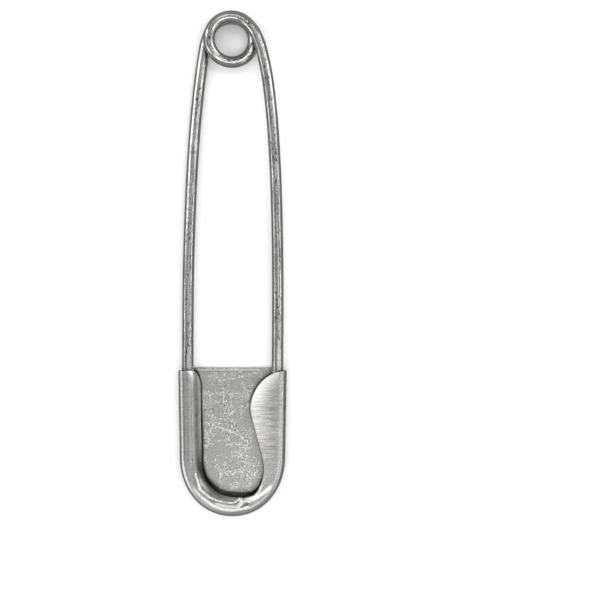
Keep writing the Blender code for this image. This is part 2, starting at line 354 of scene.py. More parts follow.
# Scratches and painted lines in millimetres, each with a start, a run and a width: one scratch
# crosses the plate, one the guard, and a painted highlight lies along the mouth with a painted dark
# line beside it
SCRATCHES_AND_MOUTH_HIGHLIGHT = (
    ((-3.52, -41.26, 0.6), (5.57, -2.28, 0), 0.15),
    ((6.22, -42.31, 4.9), (6.02, 0.0, -0.2), 0.22),
    ((-9.1, -26.8, 0.6), (15.46, 0.0, 0), 0.13),
)
MOUTH_DARK_LINE = ((-9.1, -27.2, 0.6), (15.46, 0.0, 0), 0.13)

# Table, the room's brightness by height, and softboxes: place, size and power
TABLE_HALF = 1.5
TABLE_DROP = 0.02 * MM
TABLE_GREY = (0.9, 0.9, 0.9, 1)
ROOM_GREY = (0.88, 0.88, 0.88, 1)
ROOM_LEVELS = (
    (0.0, 0.28),
    (0.46, 0.32),
    (0.54, 0.44),
    (0.75, 0.40),
    (0.94, 0.38),
    (0.985, 0.54),
    (1.0, 0.58),
)
SOFTBOXES = {
    "left_strip": ((-0.62, 0.05, 0.27), (0.8, 0.08), 0.62),
    "right_strip": ((0.58, 0.0, 0.33), (0.9, 0.09), 0.75),
    "left_back_softbox": ((-0.56, 0.21, 0.42), (0.26, 0.50), 0.75),
    "right_back_softbox": ((0.60, 0.26, 0.42), (0.28, 0.18), 0.45),
    "front_softbox": ((0.14, -0.29, 0.66), (0.9, 0.18), 1.45),
    "back_softbox": ((0.14, 0.29, 0.66), (0.9, 0.08), 0.75),
    "left_front_softbox": ((-0.44, -0.27, 0.40), (0.22, 0.26), 0.35),
    "overhead_softbox": ((0.16, -0.06, 0.70), (0.16, 0.16), 0.08),
}

# Camera: what the photograph's frame covers at the wire's level
VIEW_CENTRE = (17.01 * MM, -9.07 * MM)
VIEW_WIDTH = 151.44 * MM
CAMERA_DISTANCE = 400 * MM


def evenly(start, end, steps):
    """Values from start to end, both in."""
    return [start + (end - start) * step / steps for step in range(steps + 1)]


def eased(start, end, share):
    """A value between two others, which starts and ends gently."""
    share = min(max(share, 0), 1)
    return start + (end - start) * (1 - math.cos(math.pi * share)) / 2


def along_stops(stops, place):
    """A value at a place, which goes gently from one stop to the next."""
    for (start, value), (end, next_value) in zip(stops, stops[1:]):
        if place <= end:
            break
    return eased(value, next_value, (place - start) / (end - start))


def flowing(stops, place):
    """A value at a place, on one smooth curve through the stops."""
    last = len(stops) - 2
    index = min(max(sum(place >= start for start, _ in stops) - 1, 0), last)
    slopes = []
    for middle in (index, index + 1):
        before, after = stops[max(middle - 1, 0)], stops[min(middle + 1, last + 1)]
        slopes.append((after[1] - before[1]) / (after[0] - before[0]))
    (start, value), (end, next_value) = stops[index], stops[index + 1]
    span = end - start
    share = (place - start) / span
    leaving = share * (1 - share) ** 2 * span * slopes[0]
    arriving = share**2 * (share - 1) * span * slopes[1]
    return value + (next_value - value) * share**2 * (3 - 2 * share) + leaving + arriving


# Line of the cap's rim


def side_share(length):
    """A length along one of the cap's sides, as a share of the whole rim."""
    return SIDE_SHARE * length / CAP_SIDE_LENGTH


def rim(share):
    """A point of the cap's outside, and the outward direction there."""
    half = CAP_SHOULDER_WIDTH / 2
    flare = CAP_MOUTH_WIDTH / 2 - half
    side = -1 if share < 0.5 else 1
    down = min(share, 1 - share) / SIDE_SHARE
    if down < 1:
        across = side * (half + flare * (1 - down))
        outward = Vector((side * CAP_SIDE_LENGTH, -flare, 0))
        return Vector((across, CAP_MOUTH_Y - CAP_SIDE_LENGTH * down, 0)), outward.normalized()
    angle = math.pi * (share - SIDE_SHARE) / (1 - 2 * SIDE_SHARE)
    across = abs(math.cos(angle)) ** (2 / CAP_ROUND_POWER)
    down = abs(math.sin(angle)) ** (2 / CAP_ROUND_POWER)
    point = Vector((side * half * across, CAP_SHOULDER_Y - CAP_ROUND_LENGTH * down, 0))
    slant = CAP_ROUND_POWER - 1
    outward = Vector((side * across**slant / half, -(down**slant) / CAP_ROUND_LENGTH, 0))
    return point, outward.normalized()


def inside_rim(share, inset, level):
    """A point at a distance inside the cap's outside, at a height."""
    point, outward = rim(share)
    return point - outward * inset + Vector((0, 0, level))


# Spring wire


def coil_point(angle):
    """A point of the coil's centre line; the angle grows from the pin arm to the fixed arm."""
    upper_ends = FIXED_ARM_LEAVES - math.tau
    share = (math.tau - angle) / (math.tau - upper_ends)
    height = WIRE_RADIUS + eased(0, COIL_RISE, share)
    radius = along_stops(COIL_RADII, angle)
    return Vector((COIL_X + radius * math.cos(angle), COIL_Y + radius * math.sin(angle), height))


def arm_way(angle, sense):
    """The level direction in which an arm leaves the coil."""
    return Vector((math.sin(angle), -math.cos(angle), 0)) * sense


def smooth_path(knots, steps):
    """Points on a smooth curve through the knots; the first and the last knot only steer it."""
    headings = [(after - before).normalized() for before, after in zip(knots, knots[2:])]
    path = [knots[1]]
    for start, end, leaving, arriving in zip(knots[1:], knots[2:], headings, headings[1:]):
        handle = (end - start).length / 3
        handles = (start + leaving * handle, end - arriving * handle)
        curve = interpolate_bezier(start, *handles, end, steps + 1)
        path += [Vector(point) for point in curve[1:]]
    return path


def arm_mouth(sense):
    """Where an arm enters the cap."""
    return Vector((sense * (CAP_MOUTH_WIDTH / 2 - WIRE_LEVEL), CAP_MOUTH_Y, WIRE_LEVEL))


def arm_curve(angle, sense, bow_shares, beyond):
    """An arm's curve, from where it leaves the coil, along its bow, to the cap's mouth."""
    start = coil_point(angle)
    mouth = arm_mouth(sense)
    bow = []
    for along, spread in bow_shares:
        level = WIRE_LEVEL + (start.z - WIRE_LEVEL) * (1 - along) ** 2
        bow.append(Vector((mouth.x * spread, start.y + (mouth.y - start.y) * along, level)))
    steer = bow[0] - arm_way(angle, sense) * COIL_RADIUS
    return smooth_path([steer, start, *bow, mouth, beyond], ARM_STEPS)


def wire_line():
    """The wire's centre line and radius, from the hook in the cap round the coil to the point."""
    places = evenly(0, HOOK_END_SHARE, HOOK_STEPS)
    hook = [inside_rim(place, WIRE_LEVEL, WIRE_LEVEL) for place in places]
    fixed_arm = arm_curve(FIXED_ARM_LEAVES, -1, FIXED_ARM_BOW_SHARES, hook[1]) + hook[1:]
    coil = [coil_point(angle) for angle in evenly(FIXED_ARM_LEAVES, PIN_ARM_LEAVES, COIL_STEPS)]
    narrowing = (CAP_MOUTH_WIDTH - CAP_SHOULDER_WIDTH) / 2 * PIN_REACH / CAP_SIDE_LENGTH
    tip = arm_mouth(1) - Vector((narrowing, PIN_REACH, 0))
    pin_arm = arm_curve(PIN_ARM_LEAVES, 1, PIN_ARM_BOW_SHARES, tip)
    ground = tip + (arm_mouth(1) - tip).normalized() * POINT_LENGTH
    shaft = [*reversed(fixed_arm[1:]), *coil, *pin_arm[1:]]
    line = [(point, WIRE_RADIUS) for point in shaft]
    return line + [(ground.lerp(tip, along), WIRE_RADIUS * share) for along, share in POINT_SHARES]


def wind_wire(name, line, sides):
    """A round wire along a line, with its length and its way round as texture coordinates."""
    points = [point for point, _ in line]
    neighbours = zip([points[0], *points], [*points[1:], points[-1]])
    headings = [(after - before).normalized() for before, after in neighbours]
    mesh = bmesh.new()
    drawn = mesh.loops.layers.uv.new("drawn")
    rings = []
    lengths = [0.0]
    for before, after in zip(points, points[1:]):
        lengths.append(lengths[-1] + (after - before).length)
    for (point, radius), heading in zip(line, headings):
        across = heading.cross(Vector((0, 0, 1))).normalized()
        above = across.cross(heading)
        ring = []
        for side in range(sides):
            turn = math.tau * side / sides
            outward = across * math.cos(turn) + above * math.sin(turn)
            ring.append(mesh.verts.new(point + outward * radius))
        rings.append(ring)
    for index, (ring, next_ring) in enumerate(zip(rings, rings[1:])):
        for side in range(sides):
            after = (side + 1) % sides
            face = mesh.faces.new((ring[side], ring[after], next_ring[after], next_ring[side]))
            corners = ((side, index), (side + 1, index), (side + 1, index + 1), (side, index + 1))
            for loop, (turn, place) in zip(face.loops, corners):
                loop[drawn].uv = (turn / sides, lengths[place] / WIRE_MAP_LENGTH)
    mesh.faces.new(reversed(rings[0]))
    mesh.faces.new(rings[-1])
    return finish_mesh(name, mesh)


def finish_mesh(name, mesh):
    """The piece made of a mesh, shaded smooth but for its sharp edges."""
    mesh.normal_update()
    data = bpy.data.meshes.new(name)
    mesh.to_mesh(data)
    mesh.free()
    data.shade_smooth()
    data.set_sharp_from_angle(angle=SMOOTH_ANGLE)
    piece = bpy.data.objects.new(name, data)
    bpy.context.scene.collection.objects.link(piece)
    return piece


# Cap


def quarter_round(share):
    """How wide a rounded corner is, as a share, at a share of its depth."""
    return math.sqrt(1 - (1 - min(share, 1)) ** 2)


def lip_width(share):
    """The distance from the cap's outside to the lip's free edge."""
    lip = flowing(LIP_WIDTHS, share)
    if share < SIDE_SHARE:
        corner = quarter_round(share / side_share(CHANNEL_CORNER_LENGTH))
        lip = CHANNEL_MOUTH_LIP + (lip - CHANNEL_MOUTH_LIP) * corner
    lip = lip * quarter_round((1 - share) / side_share(GUARD_CORNER_LENGTH))
    return max(lip, LEAST_LIP)


def guard_top(inset):
    """The place along the rim where the guard's rounded top crosses an inset."""
    across = min(inset / GUARD_LIP, 1)
    return 1 - side_share(GUARD_CORNER_LENGTH) * (1 - math.sqrt(1 - across**2))


def lip_level(share, inset):
    """The height of the lip's middle: crimped over the fixed arm, flared at the guard's edge."""
    lifted = (share - LIFT_START_SHARE) / (HOOK_END_SHARE - LIFT_START_SHARE)
    edge_level = eased(CRIMP_EDGE_LEVEL, LIFTED_EDGE_LEVEL, lifted)
    along = max(inset - CRIMP_START, 0) / CRIMP_REACH
    crimped = LIP_LEVEL - (LIP_LEVEL - edge_level) * along**CRIMP_CURVE
    beyond = max(inset - LEAST_LIP, 0) / (GUARD_LIP - LEAST_LIP)
    flared = LIP_LEVEL + GUARD_FLARE * beyond**2
    return eased(crimped, flared, (share - CRIMP_END_SHARE) / CRIMP_END_RUN)


def peak(place, middle, spread):
    """A value that is 1 at a middle and fades to both sides."""
    return math.exp(-(((place - middle) / spread) ** 2))


def mouth_shine(share):
    """The painted highlight at the channel's end."""
    return eased(MOUTH_SHINE, 0, share / side_share(MOUTH_SHINE_LENGTH))


def lip_shade(share, gap):
    """The lip's painted shade at a distance from its free edge: its slope, ridge and edge are dark.
    """
    slope = along_stops(SLOPE_DEPTH, share) * eased(1, 0, (gap - SLOPE_START) / SLOPE_REACH)
    ridge = along_stops(RIDGE_SHADE_DEPTH, share) * peak(gap, RIDGE_SHADE_GAP, RIDGE_SHADE_SPREAD)
    edge = along_stops(EDGE_DEPTH, share) * eased(1, 0, gap / EDGE_REACH)
    return (1 - slope) * (1 - ridge) * (1 - edge)


def lip_shine(share, gap):
    """The lip's painted highlight at a distance from its free edge."""
    guard = along_stops(GUARD_SHINE, share) * eased(1, 0, gap / SHINE_REACH)
    beyond = (gap - SLOPE_SHINE_START) / SLOPE_SHINE_REACH
    slope = along_stops(SLOPE_SHINE, share) * eased(1, 0, beyond)
    return max(guard, slope, mouth_shine(share))


def fold_section(share):
    """The sheet's middle from the plate's edge, up the wall and over to the lip's edge.

    Each point comes with its painted shade, from 0 black to 1 bare metal, and its painted highlight.
    """
    wall = SHEET / 2
    high_bend = eased(HIGH_BEND, GUARD_BEND, (share - GUARD_BEND_START) / GUARD_BEND_RUN)
    section = []
    for turn in evenly(0, math.pi / 2, BEND_STEPS):
        inset = wall + LOW_BEND * (1 - math.sin(turn))
        section.append((inside_rim(share, inset, wall + LOW_BEND * (1 - math.cos(turn))), 1, 0))
    for turn in evenly(0, math.pi / 2, BEND_STEPS):
        inset = wall + high_bend * (1 - math.cos(turn))
        level = LIP_LEVEL - high_bend * (1 - math.sin(turn))
        # A painted highlight line and a painted shade line run along the high bend
        brightened = along_stops(BEND_HIGHLIGHT, share) * peak(turn, BRIGHT_TURN, BRIGHT_SPREAD)
        shade_line = along_stops(BEND_SHADE_DEPTH, share) * peak(turn, SHADE_LINE_TURN, BRIGHT_SPREAD)
        point = inside_rim(min(share, guard_top(inset)), inset, level)
        section.append((point, 1 - shade_line, max(brightened, mouth_shine(share))))
    width = lip_width(share)
    for inset in evenly(wall + high_bend, width, LIP_STEPS)[1:]:
        point = inside_rim(min(share, guard_top(inset)), inset, lip_level(share, inset))
        section.append((point, lip_shade(share, width - inset), lip_shine(share, width - inset)))
    return section


def free_edge():
    """The lip's free edge seen from above, in points close together."""
    return [inside_rim(share, lip_width(share), 0) for share in evenly(0, 1, EDGE_STEPS)]


def plate_shade(point, edges, under):
    """The plate's painted shade at a point: dark beside and under the lip's free edge."""
    _, index, distance = edges.find((point.x, point.y, 0))
    share = index / EDGE_STEPS
    beyond = 0 if under else max(distance - along_stops(EDGE_COVER, share), 0)
    faded = eased(1, 0, beyond / along_stops(SHADE_REACH, share))
    return 1 - along_stops(SHADE_DEPTH, share) * faded


def rim_places():
    """Places along the rim, closer together at the lip's rounded corners and at the seam."""
    channel = side_share(CHANNEL_CORNER_LENGTH)
    guard = side_share(GUARD_CORNER_LENGTH)
    top = math.asin(LEAST_LIP / GUARD_LIP)
    corner_turns = evenly(0, math.pi / 2, RIM_STEPS["corner"])
    top_turns = evenly(math.pi / 2, top, RIM_STEPS["top"])
    return [
        *(channel * (1 - math.cos(turn)) for turn in corner_turns),
        *evenly(channel, SIDE_SHARE, RIM_STEPS["channel"])[1:],
        *evenly(SIDE_SHARE, SEAM_START_SHARE, RIM_STEPS["round"])[1:],
        *evenly(SEAM_START_SHARE, SEAM_END_SHARE, RIM_STEPS["seam"])[1:],
        *evenly(SEAM_END_SHARE, NECK_SHARE, RIM_STEPS["neck"])[1:],
        *evenly(NECK_SHARE, 1 - guard, RIM_STEPS["guard"])[1:],
        *[1 - guard * (1 - math.cos(turn)) for turn in top_turns][1:],
        1.0,
    ]


# Creases of the lip, as lines over it in millimetres, each with a lift, a width and a painted
# light: a painted highlight above 0 and painted shade below
RIDGE_LINE = (
    (-9.33, -52.73),
    (-8.18, -56.59),
    (-5.82, -58.52),
    (-3.86, -59.37),
    (-1.63, -59.93),
    (0.3, -60.0),
    (1.15, -59.5),
    (1.9, -59.0),
)
RIDGE_GROOVE_LINE = (
    (-5.6, -59.15),
    (-3.7, -59.95),
    (-1.6, -60.45),
    (0.3, -60.45),
    (1.2, -60.0),
    (1.9, -59.6),
)
ROLLED_EDGE_LINE = (
    (-12.22, -50.72),
    (-11.37, -53.8),
    (-9.99, -56.04),
    (-8.03, -58.24),
    (-5.24, -60.33),
    (-2.48, -61.46),
    (0.3, -61.73),
    (2.38, -61.46),
    (4.06, -60.75),
)
FLAT_BAND_LINE = ((-3.8, -60.35), (-1.2, -61.0), (1.2, -61.1))
PLEAT_LINE = ((2.15, -59.15), (2.35, -59.95), (1.5, -61.0))
PLEAT_HOLLOW_LINE = ((3.4, -59.9), (3.2, -60.5))
PLEAT_GROOVE_LINE = ((3.97, -60.2), (3.2, -60.75), (2.4, -61.05))
PIT_LINE = ((4.0, -60.35), (3.95, -60.55))
SEAM_CRACK_LINE = ((3.2, -59.15), (4.7, -59.2))
NECK_EDGE_LINE = ((4.3, -58.75), (5.6, -58.3), (6.7, -57.05), (7.3, -55.6))
NECK_BAND_LINE = ((3.2, -59.6), (5.4, -58.75), (7.0, -57.75), (8.2, -56.9), (9.4, -55.9))
CREASES = (
    (RIDGE_LINE, 0.20, 0.20, 1.0),
    (RIDGE_GROOVE_LINE, -0.10, 0.18, -0.6),
    (ROLLED_EDGE_LINE, 0.09, 0.22, 1.0),
    (FLAT_BAND_LINE, 0.0, 0.42, 1.0),
    (PLEAT_LINE, 0.22, 0.34, 1.0),
    (PLEAT_HOLLOW_LINE, -0.22, 0.36, -0.55),
    (PLEAT_GROOVE_LINE, -0.15, 0.20, -0.5),
    (PIT_LINE, -0.36, 0.26, -1.0),
    (SEAM_CRACK_LINE, -0.08, 0.16, -0.35),
    (NECK_EDGE_LINE, 0.05, 0.16, 0.7),
    (NECK_BAND_LINE, 0.06, 0.46, 1.0),
)


def span_from(point, start, end):
    """How far a point is from a straight line between two others."""
    line = end - start
    share = min(max((point - start).dot(line) / line.length_squared, 0), 1)
    return (point - start - line * share).length


def creased(point, shade, shine):
    """A point of the lip, lifted or sunk by the creases, with the painted shade and highlight they
    bring.
    """
    here = Vector((point.x, point.y)) / MM
    for places, lift, width, painted_light in CREASES:
        corners = [Vector(place) for place in places]
        span = min(span_from(here, start, end) for start, end in zip(corners, corners[1:]))
        strength = peak(span, 0, width)
        point = point + Vector((0, 0, lift * strength * MM))
        shine = max(shine, painted_light * strength)
        if painted_light < 0:
            shade = min(shade, 1 + painted_light * strength)
        else:
            shade += (1 - shade) * painted_light * strength
    return point, shade, shine


def lay_plate(mesh, outline, edges, shade):
    """The flat plate inside its outline, with rows of points that carry the lip's painted shade."""
    places = [vertex.co.xy for vertex in outline]
    under = [True] * len(places)
    line = [point.xy for point in free_edge()][::EDGE_STRIDE]
    for before, here, after in zip(line, line[1:], line[2:]):
        along = (after - before).normalized()
        for row in SHADE_ROWS:
            place = here + Vector((-along.y, along.x)) * row * MM
            if place.y < CAP_MOUTH_Y + PLATE_EDGE_LENGTH - PLATE_MARGIN:
                places.append(place)
                under.append(row < 0)
    ring = [list(range(len(outline)))]
    laid, _, faces, sources, _, _ = delaunay_2d_cdt(places, [], ring, 1, WELD_DISTANCE)
    corners = []
    for place, source in zip(laid, sources):
        first = source[0]
        if first < len(outline):
            corners.append(outline[first])
            continue
        corner = mesh.verts.new((place.x, place.y, SHEET / 2))
        corner[shade] = plate_shade(corner.co, edges, under[first])
        corners.append(corner)
    for face in faces:
        mesh.faces.new([corners[index] for index in face])


def press_cap(name):
    """The plate, whose rim is folded up and over to make the channel and the guard."""
    mesh = bmesh.new()
    # Float layers of the painted shade and the painted highlight
    shade = mesh.verts.layers.float.new("shade")
    shine = mesh.verts.layers.float.new("shine")
    edge_line = free_edge()
    edges = KDTree(len(edge_line))
    for index, point in enumerate(edge_line):
        edges.insert(point, index)
    edges.balance()
    columns = []
    for place in rim_places():
        column = []
        for index, (point, dark, bright) in enumerate(fold_section(place)):
            if index > 2 * BEND_STEPS:
                point, dark, bright = creased(point, dark, bright)
            vertex = mesh.verts.new(point)
            vertex[shade] = dark
            vertex[shine] = bright
            column.append(vertex)
        columns.append(column)
    rows = list(zip(*columns))
    mouth_ends = (rows[0][-1], rows[0][0])
    mouth = [mesh.verts.new(end.co + Vector((0, PLATE_EDGE_LENGTH, 0))) for end in mouth_ends]
    for vertex in mouth:
        vertex[shade] = 1
    lay_plate(mesh, [*rows[0], *mouth], edges, shade)
    for row, next_row in zip(rows, rows[1:]):
        for corners in zip(row, row[1:], next_row[1:], next_row):
            mesh.faces.new(corners[::-1])
    cap = finish_mesh(name, mesh)
    solid = cap.modifiers.new("sheet", "SOLIDIFY")
    solid.thickness = SHEET
    solid.offset = 0
    solid.use_even_offset = True
    rounding = cap.modifiers.new("edges", "BEVEL")
    rounding.width = ROUNDED_EDGE
    rounding.segments = ROUNDED_EDGE_STEPS
    rounding.limit_method = "ANGLE"
    rounding.angle_limit = ROUNDED_EDGE_ANGLE
    return cap


# Finishes


def node(tree, kind, inputs=None, **settings):
    """A shader node with its settings, and with values or links for its inputs."""
    made = tree.nodes.new(kind)
    for setting, value in settings.items():
        setattr(made, setting, value)
    for socket, value in (inputs or {}).items():
        if isinstance(value, bpy.types.NodeSocket):
            tree.links.new(value, made.inputs[socket])
        else:
            made.inputs[socket].default_value = value
    return made


def new_group(name, inputs, outputs):
    """A shader node group with named inputs, each with its kind and value, and named outputs."""
    group = bpy.data.node_groups.new(name, "ShaderNodeTree")
    for title, (kind, value) in inputs.items():
        socket = group.interface.new_socket(title, in_out="INPUT", socket_type=kind)
        if value is not None:
            socket.default_value = value
    for title, kind in outputs.items():
        group.interface.new_socket(title, in_out="OUTPUT", socket_type=kind)
    given = group.nodes.new("NodeGroupInput").outputs
    return group, given, group.nodes.new("NodeGroupOutput").inputs


def place_group(tree, group, inputs):
    """A node group placed in a material with its own values."""
    return node(tree, "ShaderNodeGroup", inputs, node_tree=group).outputs


def reckoned(tree, operation, *values, clamp=False):
    """The result of a sum, product or other reckoning with values."""
    settings = {"operation": operation, "use_clamp": clamp}
    return node(tree, "ShaderNodeMath", dict(enumerate(values)), **settings).outputs[0]


def stretched(tree, place, stretch):
    """A place with each of its parts made longer or shorter."""
    inputs = {0: place, 1: stretch}
    return node(tree, "ShaderNodeVectorMath", inputs, operation="MULTIPLY").outputs[0]


def mapped(tree, value, span, result):
    """A value carried from one span to another, and held at its ends."""
    inputs = {0: value, 1: span[0], 2: span[1], 3: result[0], 4: result[1]}
    return node(tree, "ShaderNodeMapRange", inputs).outputs[0]


def mixed(tree, share, colour, other):
    """A colour between two others."""
    inputs = {0: share, 6: colour, 7: other}
    return node(tree, "ShaderNodeMix", inputs, data_type="RGBA").outputs[2]


def parted(tree, place):
    """The three parts of a place."""
    return node(tree, "ShaderNodeSeparateXYZ", {0: place}).outputs


def brushing():
    """Fine parallel lines of a drawn or brushed metal, as a value round a half."""
    group, given, out = new_group(
        "brushed_lines",
        {
            "Place": ("NodeSocketVector", None),
            "Stretch": ("NodeSocketVector", (1, 1, 1)),
            "Contrast": ("NodeSocketFloat", 1.0),
        },
        {"Lines": "NodeSocketFloat"},
    )
    place = stretched(group, given["Place"], given["Stretch"])
    grain = {"Vector": place, "Scale": 1.0, "Detail": 4.0, "Roughness": 0.65}
    noise = node(group, "ShaderNodeTexNoise", grain).outputs[0]
    centred = reckoned(group, "SUBTRACT", noise, 0.5)
    strong = reckoned(group, "MULTIPLY_ADD", centred, given["Contrast"], 0.5, clamp=True)
    group.links.new(strong, out["Lines"])
    return group


def flecking():
    """Small flecks, bright or dark by their use, crowded where a broad noise is high."""
    group, given, out = new_group(
        "scuffs",
        {
            "Place": ("NodeSocketVector", None),
            "Size": ("NodeSocketFloat", 0.5),
            "Amount": ("NodeSocketFloat", 0.5),
        },
        {"Scuffs": "NodeSocketFloat", "Crowding": "NodeSocketFloat"},
    )
    scale = reckoned(group, "DIVIDE", 1.0, given["Size"])
    grain = {"Vector": given["Place"], "Scale": scale, "Detail": 1.5, "Roughness": 0.5}
    fine = node(group, "ShaderNodeTexNoise", grain).outputs[0]
    broad_scale = reckoned(group, "MULTIPLY", scale, CROWD_SCALE)
    patches = {"Vector": given["Place"], "Scale": broad_scale, "Detail": 2.0}
    broad = node(group, "ShaderNodeTexNoise", patches).outputs[0]
    crowd = mapped(group, broad, CROWD_NOISE, CROWD_LIFT)
    lifted = reckoned(group, "ADD", fine, crowd)
    edge = mapped(group, given["Amount"], (0.0, 1.0), FLECK_LEVEL)
    edge_end = reckoned(group, "ADD", edge, FLECK_SOFTNESS)
    mask = mapped(group, lifted, (edge, edge_end), (0.0, 1.0))
    crowding = mapped(group, broad, CROWDING_NOISE, (0.0, 1.0))
    group.links.new(mask, out["Scuffs"])
    group.links.new(crowding, out["Crowding"])
    return group


def straight_line_group():
    """One straight line between two places, used for scratches and painted lines."""
    group, given, out = new_group(
        "straight_line_mask",
        {
            "Place": ("NodeSocketVector", None),
            "Start": ("NodeSocketVector", (0, 0, 0)),
            "Run": ("NodeSocketVector", (1, 0, 0)),
            "Width": ("NodeSocketFloat", 0.1),
        },
        {"Line_mask": "NodeSocketFloat"},
    )

    def vector(operation, inputs):
        """The results of a reckoning with places."""
        return node(group, "ShaderNodeVectorMath", inputs, operation=operation).outputs

    away = vector("SUBTRACT", {0: given["Place"], 1: given["Start"]})[0]
    forward = vector("DOT_PRODUCT", {0: away, 1: given["Run"]})[1]
    whole = vector("DOT_PRODUCT", {0: given["Run"], 1: given["Run"]})[1]
    share = reckoned(group, "DIVIDE", forward, whole, clamp=True)
    foot = vector("SCALE", {0: given["Run"], "Scale": share})[0]
    apart = vector("DISTANCE", {0: away, 1: foot})[1]
    group.links.new(mapped(group, apart, (0.0, given["Width"]), (1.0, 0.0)), out["Line_mask"])
    return group


def darkening():
    """A colour darkened by painted shade in creases and under edges, from ambient occlusion."""
    group, given, out = new_group(
        "crease_occlusion_shade",
        {
            "Metal": ("NodeSocketColor", (0.5, 0.5, 0.5, 1)),
            "Reach": ("NodeSocketFloat", 0.002),
            "Depth": ("NodeSocketFloat", 1.5),
        },
        {"Colour": "NodeSocketColor"},
    )
    reach = {"Distance": given["Reach"]}
    open_share = node(group, "ShaderNodeAmbientOcclusion", reach, samples=8).outputs["AO"]
    shade_share = reckoned(group, "POWER", open_share, given["Depth"])
    group.links.new(mixed(group, shade_share, OCCLUSION_SHADE_BLACK, given["Metal"]), out["Colour"])
    return group


def new_metal(name):
    """A metal material with a shader, ready for its nodes."""
    material = bpy.data.materials.new(name)
    material.use_nodes = True
    tree = material.node_tree
    shader = tree.nodes["Principled BSDF"]
    shader.inputs["Metallic"].default_value = 1.0
    return material, tree, shader


def set_relief(tree, shader, height, depth):
    """Fine relief of a surface, from a height and its depth."""
    inputs = {"Height": height, "Strength": 0.3, "Distance": depth}
    tree.links.new(node(tree, "ShaderNodeBump", inputs).outputs[0], shader.inputs["Normal"])


def drawn_wire(lines, scuffs, occlusion_shade):
    """Nickelled spring wire: drawing lines along it, bright nicks, and dark pits on its top."""
    material, tree, shader = new_metal("drawn_spring_wire")
    along = node(tree, "ShaderNodeUVMap", uv_map="drawn").outputs[0]
    drawn = {"Place": along, "Stretch": (38.0, 1.3, 1.0), "Contrast": 3.2}
    drawing = place_group(tree, lines, drawn)["Lines"]
    place = stretched(tree, along, (9.1, 10.0, 1.0))
    nicks = place_group(tree, scuffs, {"Place": place, "Size": 0.36, "Amount": 0.55})["Scuffs"]
    brightened = mixed(tree, nicks, mixed(tree, drawing, WIRE_DARK, WIRE_LIGHT), NICK_BRIGHT)

    shift = {0: along, 1: (9.1, 4.0, 1.0), 2: (1.3, 3.1, 0.0)}
    beside = node(tree, "ShaderNodeVectorMath", shift, operation="MULTIPLY_ADD").outputs[0]
    pits = place_group(tree, scuffs, {"Place": beside, "Size": 0.36, "Amount": 0.88})["Scuffs"]
    off_top = reckoned(tree, "SUBTRACT", parted(tree, along)[0], WIRE_TOP)
    off_top = reckoned(tree, "ABSOLUTE", off_top)
    depth = reckoned(tree, "MULTIPLY", pits, mapped(tree, off_top, PIT_REACH, PIT_DEPTH))
    pitted = mixed(tree, depth, brightened, PIT_DARK)

    # Painted shade from ambient occlusion where the coil's turns cross and in creases
    occluded = {"Metal": pitted, "Reach": 1.2 * MM, "Depth": 1.8}
    tree.links.new(place_group(tree, occlusion_shade, occluded)["Colour"], shader.inputs["Base Color"])
    tree.links.new(mapped(tree, drawing, (0.0, 1.0), WIRE_ROUGHNESS), shader.inputs["Roughness"])
    height = reckoned(tree, "MULTIPLY_ADD", nicks, -NICK_DEPTH, drawing)
    set_relief(tree, shader, height, WIRE_RELIEF)
    return material


